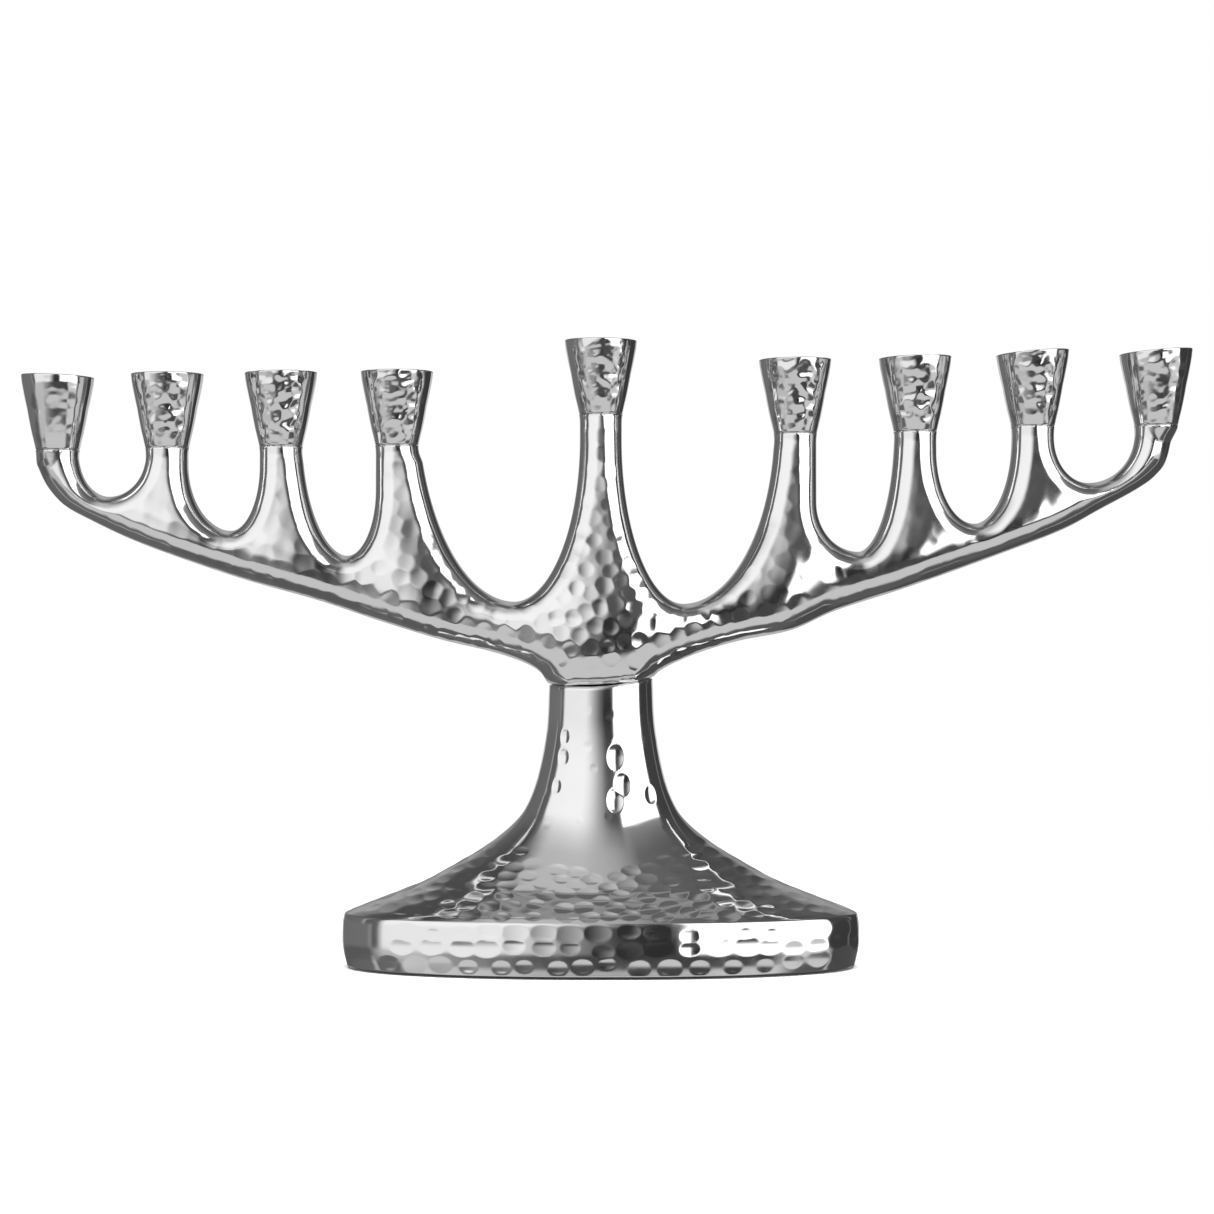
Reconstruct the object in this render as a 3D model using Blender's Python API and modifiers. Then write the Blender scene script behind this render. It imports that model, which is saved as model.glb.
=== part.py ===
"""A nine-branched candle stand in hammered, polished metal.

One branch casting, a belly with boughs and nine stems, has a flared candle cup brazed on each stem.
It stands on a hollow pedestal casting, held by one bolt from below. Felt closes the pedestal.

All dimensions below are in millimetres, and MM turns them into metres. X runs along the row of
cups, Y from front to back and Z up. The origin is under the middle of the base.
"""

import math

import bmesh
import bpy
import numpy as np

MM = 0.001
GAP = 0.3  # between two pieces that touch

# Candle cups: turned and flared, with a tapered bore for a thin candle.
CUP_HEIGHT = 24.0
CUP_RIM_RADIUS = 11.7
CUP_FOOT_RADIUS = 7.05
CUP_FLARE = 0.85  # 1 is a plain cone, and less than 1 opens early, like a bell
CUP_RIM_WALL = 1.5
BORE_DEPTH = 17.0
BORE_WAIST_DEPTH = 9.0  # the bore is a wide cone down to here, then nearly straight
BORE_WAIST_RADIUS = 6.4
BORE_FLOOR_RADIUS = 5.5
CUP_SEGMENTS = 24

# Each stem from left to right: its cup's name, centre X, rim height, and the slope of the cup's
# mouth along X, because the rims were filed by hand.
STEMS = [
    ("candle_cup_left_4", -176.6, 191.8, -0.04),
    ("candle_cup_left_3", -141.0, 192.5, 0.0),
    ("candle_cup_left_2", -104.0, 193.0, 0.01),
    ("candle_cup_left_1", -66.3, 193.3, 0.0),
    ("shamash_cup", 0.0, 203.4, -0.01),
    ("candle_cup_right_1", 63.2, 197.2, 0.01),
    ("candle_cup_right_2", 102.2, 197.9, 0.03),
    ("candle_cup_right_3", 140.4, 199.5, 0.08),
    ("candle_cup_right_4", 180.5, 199.8, 0.08),
]
STEM_HALF_WIDTH = 6.8

# Each gap between two stems: X and Z of its lowest point, then how far the rounding reaches above
# that point on the gap's left side and on its right side. Each side is a quarter of an ellipse.
GAPS = [
    (-159.6, 152.6, 13.5, 13.5),
    (-119.9, 141.5, 21.0, 21.0),
    (-82.2, 133.4, 40.0, 21.0),
    (-28.0, 118.5, 66.0, 53.0),
    (26.7, 117.8, 53.0, 58.0),
    (83.5, 134.7, 15.5, 40.0),
    (121.2, 143.8, 23.5, 27.5),
    (158.3, 157.1, 14.5, 16.0),
]
GAP_SIDE_POINTS = 9

# The outer sides and the underside of the branch casting, from the left tip to the right tip.
UNDERSIDE = [
    (-183.8, 166.0), (-182.7, 161.4), (-179.6, 155.5), (-174.2, 149.8), (-165.8, 145.1),
    (-152.0, 138.6), (-134.9, 132.2), (-115.1, 125.6), (-92.0, 119.1), (-72.5, 112.6),
    (-51.4, 106.2), (-36.1, 102.6), (-26.0, 99.4), (-20.0, 96.2), (-17.6, 92.5),
    (-15.5, 86.0), (15.5, 86.0),
    (17.6, 94.0), (20.0, 96.8), (26.0, 99.8), (34.1, 102.9), (45.5, 106.1), (61.8, 109.4),
    (76.0, 115.6), (96.9, 122.4), (114.7, 128.6), (132.6, 135.2), (149.8, 141.9),
    (161.9, 148.4), (173.9, 154.9), (180.6, 159.8), (184.4, 166.0),
]  # fmt: skip

STEM_HALF_DEPTH = 6.8
BOUGH_HALF_DEPTH = 8.2
BELLY_HALF_DEPTH = 16.6
OUTER_ROOT_Z = 150.0  # where the outermost stems thicken into the boughs
ROOT_FALL = 0.0006  # how fast that height falls towards the middle
ROOT_BLEND = 5.0
BELLY_Z = 110.0
BELLY_REACH_X = 39.0  # how far the belly's swelling reaches sideways, up and down
BELLY_REACH_UP = 42.0
BELLY_REACH_DOWN = 32.0
EDGE_RADIUS = 5.6
BRANCH_VOXEL = 3.9

# The joint between the two castings is a shallow saddle that climbs a little to the right.
SEAM_Z = 91.4
SEAM_RISE = 1.5  # at the column's sides, above the middle
SEAM_TILT = 0.065
SEAM_CUT_DEPTH = 30.0
COLUMN_HALF_X = 16.8
COLUMN_HALF_Y = 13.2
SEAM_POINTS = 13

# Pedestal: the outer skin's half width at each height. Its half depth follows from the width.
PEDESTAL_Z = [
    0.8, 4.5, 9.0, 16.4, 18.4, 21.8, 25.0, 28.2, 34.6, 41.0, 47.6, 54.0, 64.0, 77.0, 90.0, 97.0,
]  # fmt: skip
PEDESTAL_HALF_X = [
    82.4, 83.4, 84.0, 83.6, 81.6, 73.0, 64.8, 57.0, 45.2, 35.0, 27.3, 23.2, 19.9, 17.5, 16.8, 16.8,
]  # fmt: skip
RIM_TOP_Z = 16.4
BASE_HALF_X = 84.0
BASE_HALF_Y = 36.0
BASE_ROUNDNESS = 2.15  # superellipse exponent of the plan outline: 2 is an ellipse
COLUMN_ROUNDNESS = 2.2
PEDESTAL_WALL = 3.6
ROOF_DROP = 1.8  # how far the hollow lies below the outer skin, on top of its inset from the sides
PEDESTAL_SEGMENTS = 48
WEB_UNDERSIDE_Z = 80.0  # the column is solid from here up to the seam

# M8 bolt from inside the column, with its two washers.
BOLT_RADIUS = 4.0
BOLT_TOP_Z = 106.0
BOLT_HEAD_ACROSS_FLATS = 13.0
BOLT_HEAD_HEIGHT = 5.3
BOLT_TIP_CHAMFER = 0.8
CLEARANCE_HOLE_RADIUS = 4.5
TAPPED_HOLE_RADIUS = 4.35
TAPPED_HOLE_TOP_Z = 109.0
WASHER_HOLE_RADIUS = 4.35
FLAT_WASHER_RADIUS = 8.0
FLAT_WASHER_THICKNESS = 1.6
SPRING_WASHER_RADIUS = 7.2
SPRING_WASHER_THICKNESS = 2.0
SPRING_WASHER_SLOT = 1.2
ROUND_SEGMENTS = 24
CUTTER_OVERRUN = 12.0  # how far a cutter runs past the faces that it opens

FELT_THICKNESS = 1.2
FELT_MARGIN = 0.6  # between the felt's edge and the pedestal's inner wall


# --- helpers ------------------------------------------------------------------------------------


def clear_scene():
    for obj in list(bpy.data.objects):
        bpy.data.objects.remove(obj)


def new_collection(name):
    collection = bpy.data.collections.new(name)
    bpy.context.scene.collection.children.link(collection)
    return collection


def new_material(name, colour, roughness, metallic):
    material = bpy.data.materials.new(name)
    material.use_nodes = True
    shader = material.node_tree.nodes["Principled BSDF"]
    shader.inputs["Base Color"].default_value = (*colour, 1.0)
    shader.inputs["Roughness"].default_value = roughness
    shader.inputs["Metallic"].default_value = metallic
    return material


def add_object(name, bm, collection, material=None):
    """Makes an object in metres from a bmesh in millimetres."""
    bmesh.ops.scale(bm, vec=(MM, MM, MM), verts=bm.verts)
    bmesh.ops.recalc_face_normals(bm, faces=bm.faces)
    mesh = bpy.data.meshes.new(name)
    bm.to_mesh(mesh)
    bm.free()
    if material:
        mesh.materials.append(material)
    mesh.shade_smooth()
    mesh.set_sharp_from_angle(angle=math.radians(35))
    obj = bpy.data.objects.new(name, mesh)
    collection.objects.link(obj)
    return obj


def add_cutter(name, bm, collection):
    cutter = add_object(name, bm, collection)
    cutter.hide_render = True
    cutter.display_type = "WIRE"
    return cutter


def cut(obj, cutters):
    """Takes every object of a collection out of obj."""
    boolean = obj.modifiers.new("cut", "BOOLEAN")
    boolean.operation = "DIFFERENCE"
    boolean.solver = "EXACT"
    boolean.operand_type = "COLLECTION"
    boolean.collection = cutters


def cylinder(radius, bottom, top, segments=ROUND_SEGMENTS):
    bm = bmesh.new()
    bmesh.ops.create_cone(
        bm, cap_ends=True, segments=segments, radius1=radius, radius2=radius, depth=top - bottom
    )
    bmesh.ops.translate(bm, vec=(0, 0, (bottom + top) / 2), verts=bm.verts)
    return bm


def loft(sections):
    """Skins closed loops of equal length, one above the other, and caps both ends."""
    bm = bmesh.new()
    loops = [[bm.verts.new(point) for point in section] for section in sections]
    count = len(loops[0])
    for lower, upper in zip(loops, loops[1:]):
        for i in range(count):
            j = (i + 1) % count
            bm.faces.new((lower[i], lower[j], upper[j], upper[i]))
    bm.faces.new(loops[0])
    bm.faces.new(loops[-1])
    return bm


# --- branch casting -----------------------------------------------------------------------------


def gap_side(stem_x, stem_top, gap_x, gap_z, rise):
    """One side of a gap, from its stem's top corner down to the gap's lowest point."""
    centre_z = gap_z + rise
    start = math.asin(max(0.0, (centre_z - stem_top) / rise))
    points = []
    if centre_z < stem_top:
        points.append((stem_x, stem_top))
    for i in range(GAP_SIDE_POINTS):
        angle = start + (math.radians(90) - start) * i / (GAP_SIDE_POINTS - 1)
        x = gap_x + (stem_x - gap_x) * math.cos(angle)
        points.append((x, centre_z - rise * math.sin(angle)))
    return points


def branch_outline():
    """The branch casting's outline seen from the front, as (X, Z) points in order."""
    tops = [rim_z - CUP_HEIGHT + CUP_FOOT_RADIUS for _, _, rim_z, _ in STEMS]
    xs = [x for _, x, _, _ in STEMS]
    points = [(xs[0] - STEM_HALF_WIDTH, tops[0])]
    for i, (gap_x, gap_z, left_rise, right_rise) in enumerate(GAPS):
        left = gap_side(xs[i] + STEM_HALF_WIDTH, tops[i], gap_x, gap_z, left_rise)
        right = gap_side(xs[i + 1] - STEM_HALF_WIDTH, tops[i + 1], gap_x, gap_z, right_rise)
        points += left + right[-2::-1]
    points.append((xs[-1] + STEM_HALF_WIDTH, tops[-1]))
    return points + UNDERSIDE[::-1]


def outline_plate(points):
    """A plate of the outline, one unit of half depth, with rounded edges."""
    curve = bpy.data.curves.new("branch_outline", "CURVE")
    curve.dimensions = "2D"
    curve.fill_mode = "BOTH"
    curve.extrude = (STEM_HALF_DEPTH - EDGE_RADIUS) * MM
    curve.bevel_depth = EDGE_RADIUS * MM
    curve.bevel_resolution = 3
    curve.offset = -EDGE_RADIUS * MM
    spline = curve.splines.new("POLY")
    spline.points.add(len(points) - 1)
    for point, (x, z) in zip(spline.points, points):
        point.co = (x * MM, z * MM, 0, 1)
    spline.use_cyclic_u = True
    obj = bpy.data.objects.new("branch_outline", curve)
    obj.rotation_euler.x = math.radians(90)
    bpy.context.scene.collection.objects.link(obj)
    return obj


def evaluated_mesh(obj):
    """A mesh copy of an object as its modifiers leave it, in world space."""
    bpy.context.view_layer.update()
    graph = bpy.context.evaluated_depsgraph_get()
    mesh = bpy.data.meshes.new_from_object(obj.evaluated_get(graph), depsgraph=graph)
    mesh.transform(obj.matrix_world)
    return mesh


def half_depth(x, z):
    """Half the casting's thickness from front to back: slim stems, stout boughs, a full belly."""
    reach_z = BELLY_REACH_UP if z > BELLY_Z else BELLY_REACH_DOWN
    belly = math.exp(-((x / BELLY_REACH_X) ** 2) - ((z - BELLY_Z) / reach_z) ** 2)
    stem_root_z = OUTER_ROOT_Z - ROOT_FALL * (STEMS[-1][1] - abs(x)) ** 2
    bough = 1 / (1 + math.exp((z - stem_root_z) / ROOT_BLEND))
    depth = STEM_HALF_DEPTH + (BOUGH_HALF_DEPTH - STEM_HALF_DEPTH) * bough
    return depth + (BELLY_HALF_DEPTH - BOUGH_HALF_DEPTH) * belly


def branch_casting(collection, material, cutters):
    plate = outline_plate(branch_outline())
    mesh = evaluated_mesh(plate)
    bpy.data.objects.remove(plate)
    blank = bpy.data.objects.new("branch_blank", mesh)
    bpy.context.scene.collection.objects.link(blank)
    remesh = blank.modifiers.new("even_mesh", "REMESH")
    remesh.mode = "VOXEL"
    remesh.voxel_size = BRANCH_VOXEL * MM
    bm = bmesh.new()
    bm.from_mesh(evaluated_mesh(blank))
    bpy.data.objects.remove(blank)
    bmesh.ops.scale(bm, vec=(1 / MM, 1 / MM, 1 / MM), verts=bm.verts)
    for vertex in bm.verts:
        vertex.co.y *= half_depth(vertex.co.x, vertex.co.z) / STEM_HALF_DEPTH
    casting = add_object("branch_casting", bm, collection, material)
    cut(casting, cutters)
    return casting


def stem_top_cutter(name, x, top_z, collection):
    """A block that saws a stem off flat under its cup."""
    size = 20.0
    bm = bmesh.new()
    bmesh.ops.create_cube(bm, size=size)
    bmesh.ops.translate(bm, vec=(x, 0, top_z - GAP + size / 2), verts=bm.verts)
    add_cutter(name, bm, collection)


# --- candle cups --------------------------------------------------------------------------------


def cup_profile():
    """(radius, height above the cup's foot), from the foot's centre round to the bore's floor."""
    outer = []
    for share in (0.0, 0.25, 0.5, 0.75, 1.0):
        radius = CUP_FOOT_RADIUS + (CUP_RIM_RADIUS - CUP_FOOT_RADIUS) * share**CUP_FLARE
        outer.append((radius, CUP_HEIGHT * share))
    mouth = CUP_RIM_RADIUS - CUP_RIM_WALL
    floor = CUP_HEIGHT - BORE_DEPTH
    bore = [(mouth, CUP_HEIGHT), (BORE_WAIST_RADIUS, CUP_HEIGHT - BORE_WAIST_DEPTH)]
    return [(0, 0), *outer, *bore, (BORE_FLOOR_RADIUS, floor), (0, floor)]


def candle_cup(name, x, rim_z, mouth_slope, collection, material):
    bm = bmesh.new()
    profile = [bm.verts.new((radius, 0, height)) for radius, height in cup_profile()]
    edges = [bm.edges.new(pair) for pair in zip(profile, profile[1:])]
    bmesh.ops.spin(
        bm,
        geom=profile + edges,
        cent=(0, 0, 0),
        axis=(0, 0, 1),
        angle=math.radians(360),
        steps=CUP_SEGMENTS,
        use_merge=True,
    )
    bmesh.ops.remove_doubles(bm, verts=bm.verts, dist=0.01)
    for vertex in bm.verts:
        vertex.co.z += mouth_slope * vertex.co.x * (vertex.co.z / CUP_HEIGHT) ** 2
    cup = add_object(name, bm, collection, material)
    cup.location = (x * MM, 0, (rim_z - CUP_HEIGHT) * MM)
    return cup


# --- pedestal casting ---------------------------------------------------------------------------


def column_share(half_x):
    """0 at the base's width and 1 at the column's."""
    return (BASE_HALF_X - half_x) / (BASE_HALF_X - COLUMN_HALF_X)


def plan_section(half_x, z, inset=0.0):
    """One horizontal section of the pedestal, a superellipse that gets rounder up the column."""
    share = column_share(half_x)
    half_y = BASE_HALF_Y + (COLUMN_HALF_Y - BASE_HALF_Y) * share
    power = BASE_ROUNDNESS + (COLUMN_ROUNDNESS - BASE_ROUNDNESS) * share
    points = []
    for i in range(PEDESTAL_SEGMENTS):
        angle = math.radians(360) * i / PEDESTAL_SEGMENTS
        c = math.cos(angle)
        s = math.sin(angle)
        x = (half_x - inset) * math.copysign(abs(c) ** (2 / power), c)
        y = (half_y - inset) * math.copysign(abs(s) ** (2 / power), s)
        points.append((x, y, z))
    return points


def pedestal_casting(collection, material, cutters):
    skin = [plan_section(half_x, z) for half_x, z in zip(PEDESTAL_HALF_X, PEDESTAL_Z)]
    casting = add_object("pedestal_casting", loft(skin), collection, material)
    cut(casting, cutters)
    return casting


def hollow_cutter(collection):
    """The space inside the pedestal: its outer skin moved in by the wall, and down at the roof."""
    sections = [plan_section(PEDESTAL_HALF_X[0], -CUTTER_OVERRUN, PEDESTAL_WALL)]
    inside = [(half_x, z) for half_x, z in zip(PEDESTAL_HALF_X, PEDESTAL_Z) if z < WEB_UNDERSIDE_Z]
    for half_x, z in inside:
        drop = ROOF_DROP if z > RIM_TOP_Z else 0.0
        sections.append(plan_section(half_x, z - drop, PEDESTAL_WALL))
    sections.append(plan_section(inside[-1][0], WEB_UNDERSIDE_Z, PEDESTAL_WALL))
    add_cutter("pedestal_hollow", loft(sections), collection)


def seam_height(x):
    return SEAM_Z + SEAM_RISE * (x / COLUMN_HALF_X) ** 2 + SEAM_TILT * x


def seam_cutter(name, offset, far_z, collection):
    """Everything between the saddle of the seam, moved by offset, and the height far_z."""
    reach = 20.0
    bm = bmesh.new()
    xs = np.linspace(-reach, reach, SEAM_POINTS)
    arc = [bm.verts.new((x, -reach, seam_height(x) + offset)) for x in xs]
    ends = [bm.verts.new((reach, -reach, far_z)), bm.verts.new((-reach, -reach, far_z))]
    face = bm.faces.new(arc + ends)
    side = bmesh.ops.extrude_face_region(bm, geom=[face])["geom"]
    moved = [item for item in side if isinstance(item, bmesh.types.BMVert)]
    bmesh.ops.translate(bm, vec=(0, 2 * reach, 0), verts=moved)
    add_cutter(name, bm, collection)


# --- fasteners and felt -------------------------------------------------------------------------


def washer_under(name, top_z, radius, thickness, collection, material, cutters):
    washer = add_object(name, cylinder(radius, top_z - thickness, top_z), collection, material)
    cut(washer, cutters)
    return washer


def washer_hole_cutter(collection):
    hole = cylinder(WASHER_HOLE_RADIUS, WEB_UNDERSIDE_Z - CUTTER_OVERRUN, WEB_UNDERSIDE_Z)
    add_cutter("washer_hole", hole, collection)


def spring_slot_cutter(collection):
    """The slot through one side of the spring washer, from its middle outwards."""
    reach = SPRING_WASHER_RADIUS + CUTTER_OVERRUN
    bm = bmesh.new()
    bmesh.ops.create_cube(bm, size=1.0)
    bmesh.ops.scale(bm, vec=(reach, SPRING_WASHER_SLOT, 2 * CUTTER_OVERRUN), verts=bm.verts)
    bmesh.ops.translate(bm, vec=(reach / 2, 0, WEB_UNDERSIDE_Z), verts=bm.verts)
    add_cutter("spring_washer_slot", bm, collection)


def pedestal_bolt(head_top_z, collection, material):
    """A hex head and its shank, as one stack of loops with the same number of points."""
    angles = [math.radians(360) * i / ROUND_SEGMENTS for i in range(ROUND_SEGMENTS)]
    sector = math.radians(60)
    hexagon = []
    for angle in angles:
        from_flat = (angle + sector / 2) % sector - sector / 2
        hexagon.append(BOLT_HEAD_ACROSS_FLATS / 2 / math.cos(from_flat))
    shank = [BOLT_RADIUS] * ROUND_SEGMENTS
    tip = [BOLT_RADIUS - BOLT_TIP_CHAMFER] * ROUND_SEGMENTS
    stack = [
        (hexagon, head_top_z - BOLT_HEAD_HEIGHT),
        (hexagon, head_top_z),
        (shank, head_top_z),
        (shank, BOLT_TOP_Z - BOLT_TIP_CHAMFER),
        (tip, BOLT_TOP_Z),
    ]
    sections = []
    for radii, z in stack:
        sections.append([(r * math.cos(a), r * math.sin(a), z) for r, a in zip(radii, angles)])
    return add_object("pedestal_bolt", loft(sections), collection, material)


def felt_underlay(collection, material):
    """A felt sheet that closes the pedestal's foot, lying just inside its wall."""
    inset = PEDESTAL_WALL + FELT_MARGIN
    sections = [plan_section(PEDESTAL_HALF_X[0], z, inset) for z in (0.0, FELT_THICKNESS)]
    return add_object("felt_underlay", loft(sections), collection, material)


# --- assembly -----------------------------------------------------------------------------------


def main():
    clear_scene()
    menorah = new_collection("menorah")
    branch_cutters = new_collection("branch_cutters")
    pedestal_cutters = new_collection("pedestal_cutters")
    flat_cutters = new_collection("flat_washer_cutters")
    spring_cutters = new_collection("spring_washer_cutters")

    silver = new_material("polished_hammered_metal", (0.80, 0.80, 0.80), 0.12, 1.0)
    steel = new_material("zinc_plated_steel", (0.62, 0.63, 0.64), 0.35, 1.0)
    felt = new_material("dark_felt", (0.03, 0.03, 0.035), 0.95, 0.0)

    for name, x, rim_z, mouth_slope in STEMS:
        candle_cup(name, x, rim_z, mouth_slope, menorah, silver)
        stem_top_cutter(name + "_seat", x, rim_z - CUP_HEIGHT, branch_cutters)
    seam_cutter("seam_below", GAP, SEAM_Z - SEAM_CUT_DEPTH, branch_cutters)
    tapped_hole = cylinder(TAPPED_HOLE_RADIUS, SEAM_Z - CUTTER_OVERRUN, TAPPED_HOLE_TOP_Z)
    add_cutter("tapped_hole", tapped_hole, branch_cutters)
    branch_casting(menorah, silver, branch_cutters)

    seam_cutter("seam_above", 0.0, SEAM_Z + SEAM_CUT_DEPTH, pedestal_cutters)
    hollow_cutter(pedestal_cutters)
    clearance_hole = cylinder(
        CLEARANCE_HOLE_RADIUS, WEB_UNDERSIDE_Z - CUTTER_OVERRUN, SEAM_Z + CUTTER_OVERRUN
    )
    add_cutter("clearance_hole", clearance_hole, pedestal_cutters)
    pedestal_casting(menorah, silver, pedestal_cutters)

    top_z = WEB_UNDERSIDE_Z - GAP
    washer_hole_cutter(flat_cutters)
    washer_under(
        "flat_washer",
        top_z,
        FLAT_WASHER_RADIUS,
        FLAT_WASHER_THICKNESS,
        menorah,
        steel,
        flat_cutters,
    )
    top_z -= FLAT_WASHER_THICKNESS + GAP
    washer_hole_cutter(spring_cutters)
    spring_slot_cutter(spring_cutters)
    washer_under(
        "spring_washer",
        top_z,
        SPRING_WASHER_RADIUS,
        SPRING_WASHER_THICKNESS,
        menorah,
        steel,
        spring_cutters,
    )
    top_z -= SPRING_WASHER_THICKNESS + GAP
    pedestal_bolt(top_z, menorah, steel)
    felt_underlay(menorah, felt)


main()
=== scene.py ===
import math

import bpy
import numpy as np
from mathutils.kdtree import KDTree
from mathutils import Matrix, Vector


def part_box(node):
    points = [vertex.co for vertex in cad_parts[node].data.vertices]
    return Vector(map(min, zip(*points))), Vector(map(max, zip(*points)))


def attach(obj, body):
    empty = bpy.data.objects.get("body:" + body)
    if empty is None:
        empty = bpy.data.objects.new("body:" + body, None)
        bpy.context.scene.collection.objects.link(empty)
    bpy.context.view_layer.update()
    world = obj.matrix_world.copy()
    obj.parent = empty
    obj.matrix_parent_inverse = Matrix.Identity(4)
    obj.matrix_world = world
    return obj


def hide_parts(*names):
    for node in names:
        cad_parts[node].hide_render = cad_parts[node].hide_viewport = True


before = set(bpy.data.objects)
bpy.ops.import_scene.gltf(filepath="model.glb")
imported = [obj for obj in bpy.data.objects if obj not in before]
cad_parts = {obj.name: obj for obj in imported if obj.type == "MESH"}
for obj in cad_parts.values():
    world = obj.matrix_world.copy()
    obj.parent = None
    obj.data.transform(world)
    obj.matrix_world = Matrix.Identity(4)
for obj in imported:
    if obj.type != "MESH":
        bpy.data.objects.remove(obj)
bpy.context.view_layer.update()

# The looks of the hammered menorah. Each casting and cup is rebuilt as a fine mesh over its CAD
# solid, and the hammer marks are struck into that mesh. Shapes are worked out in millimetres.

MM = 0.001

# The cups from left to right, with each mouth's slope and the depth of its dents.
STEM_CUPS = [
    "candle_cup_left_4",
    "candle_cup_left_3",
    "candle_cup_left_2",
    "candle_cup_left_1",
    "shamash_cup",
    "candle_cup_right_1",
    "candle_cup_right_2",
    "candle_cup_right_3",
    "candle_cup_right_4",
]
MOUTH_SLOPES = [-0.04, 0.0, 0.01, 0.0, -0.01, 0.01, 0.03, 0.08, 0.08]
CUP_DENT_DEPTHS = [0.04, 0.15, 0.16, 0.16, 0.14, 0.17, 0.16, 0.15, 0.1]
CUP_DENTS_Z = (5.0, 22.6)

# The stems. Each widens from NECK_RADIUS to its cup's foot over the last NECK_LENGTH.
CUP_FOOT_RADIUS = 7.05
NECK_RADIUS = 6.75
NECK_LENGTH = 6.0
NECK_REACH_X = 12.0  # the neck's shape acts this far to each side of its stem
STEM_HALF_WIDTH = 6.8
STEM_OVERRUN = 6.9  # the outline goes on this far above a cup's foot

# The branch casting's outline in X and Z. Each gap between stems is given by its lowest point, and by
# how far its rounding reaches above that point on its left and right sides.
GAPS = [
    (-159.6, 152.6, 13.5, 13.5),
    (-119.9, 141.5, 21.0, 21.0),
    (-82.2, 133.4, 40.0, 21.0),
    (-28.0, 118.5, 66.0, 53.0),
    (26.7, 117.8, 53.0, 58.0),
    (83.5, 134.7, 15.5, 40.0),
    (121.2, 143.8, 23.5, 27.5),
    (158.3, 157.1, 14.5, 16.0),
]
UNDERSIDE_LEFT = [
    (-183.4, 180.0), (-183.8, 166.0), (-182.7, 161.4), (-179.6, 155.5), (-174.2, 149.8), (-165.8, 145.1),
    (-152.0, 138.6), (-134.9, 132.2), (-115.1, 125.6), (-92.0, 119.1), (-72.5, 112.6), (-51.4, 106.2),
    (-36.1, 102.6), (-26.0, 99.4), (-20.0, 96.2), (-17.6, 92.5), (-15.5, 86.0),
]
UNDERSIDE_RIGHT = [
    (15.5, 86.0), (17.6, 94.0), (20.0, 96.8), (26.0, 99.8), (34.1, 102.9), (45.5, 106.1), (61.8, 109.4),
    (76.0, 115.6), (96.9, 122.4), (114.7, 128.6), (132.6, 135.2), (149.8, 141.9), (161.9, 148.4),
    (173.9, 154.9), (180.6, 159.8), (184.4, 166.0), (187.3, 182.0),
]
CLOSING_Z = 400.0  # closes the region over the underside, far above the casting

# The branch casting's depth from front to back: slim at the stems, deeper at the boughs, each with a
# ridge under its stem, and deepest at the belly.
EDGE_RADIUS = 6.4
STEM_HALF_DEPTH = 6.8
BOUGH_HALF_DEPTH = 8.2
BELLY_HALF_DEPTH = 16.6
OUTER_ROOT_X = 180.5
OUTER_ROOT_Z = 150.0
ROOT_FALL = 0.0006
ROOT_BLEND = 5.0
BELLY_Z = 110.0
BELLY_REACH_X = 39.0
BELLY_REACH_UP = 42.0
BELLY_REACH_DOWN = 32.0
RIDGE_HEIGHTS = [0.9, 1.3, 1.8, 2.5, 0.0, 2.5, 1.8, 1.3, 0.9]
RIDGE_HALF_WIDTH = 15.0
RIDGE_LEAN = 0.2
KEEL_FALL = 1.6  # how much slimmer the casting is along its underside
KEEL_REACH = 7.5

# The seam where the branch casting stands on the column.
SEAM_Z = 91.4
SEAM_RISE = 1.5
SEAM_TILT = 0.065
SEAM_GAP = 0.08
SEAM_HALF_X = 22.0  # the seam cuts the casting within this of its middle
SEAM_EDGE = 0.8  # rounding of the casting's cut edge on its middle plane
SEAM_ROUNDING = 3.4  # and at SEAM_ROUNDING_Y in front of it or behind it
SEAM_ROUNDING_Y = 9.0
COLUMN_HALF_X = 16.8
COLUMN_HALF_Y = 13.2

PEDESTAL_Z = [0.8, 4.5, 9.0, 16.4, 18.4, 21.8, 25.0, 28.2, 34.6, 41.0, 47.6, 54.0, 64.0, 77.0, 90.0]
PEDESTAL_HALF_X = [82.4, 83.4, 84.0, 83.6, 81.6, 73.0, 64.8, 57.0, 45.2, 35.0, 27.3, 23.2, 19.9, 17.5, 16.8]
BASE_HALF_X = 84.0
BASE_HALF_Y = 36.0
BASE_ROUNDNESS = 2.15
COLUMN_ROUNDNESS = 2.2
PEDESTAL_WALL = 3.6
LIP_RADIUS = 0.9
ROOF_DROP = 1.8
RIM_TOP_Z = 16.4
COLUMN_Z = 60.0  # above this the pedestal's rows lean more and more with the seam
WEB_UNDERSIDE_Z = 80.0
BOLT_HOLE_RADIUS = 4.5
FELT_MARGIN = 0.6  # between the felt's edge and the pedestal's inner wall

# Hammer marks. Stretch below 1 along an axis makes a mark longer that way.

# X, Z and radius of the large marks on the column.
COLUMN_MARKS = [
    (4.6, 68.5, 2.8), (6.6, 59.5, 2.8), (4.4, 54.5, 2.8),
    (-12.9, 75.5, 1.7), (-13.2, 69.5, 2.0), (-15.2, 60.0, 1.7), (17.5, 57.5, 2.2),
]
COLUMN_MARK_SLOPE = 0.18  # depth over radius
COLUMN_MARK_STRETCH = np.array((1.0, 1.0, 0.66))

RIM_ROWS_Z = [4.4, 9.6, 14.4]
RIM_MARK_PITCH = 9.0
RIM_MARK_RADIUS = 2.8
RIM_MARK_DEPTH = 0.15
RIM_PLAIN_X = -68.0  # the left end of the rim was left plain
RIM_MARK_STRETCH = np.array((0.66, 0.66, 1.0))

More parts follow.
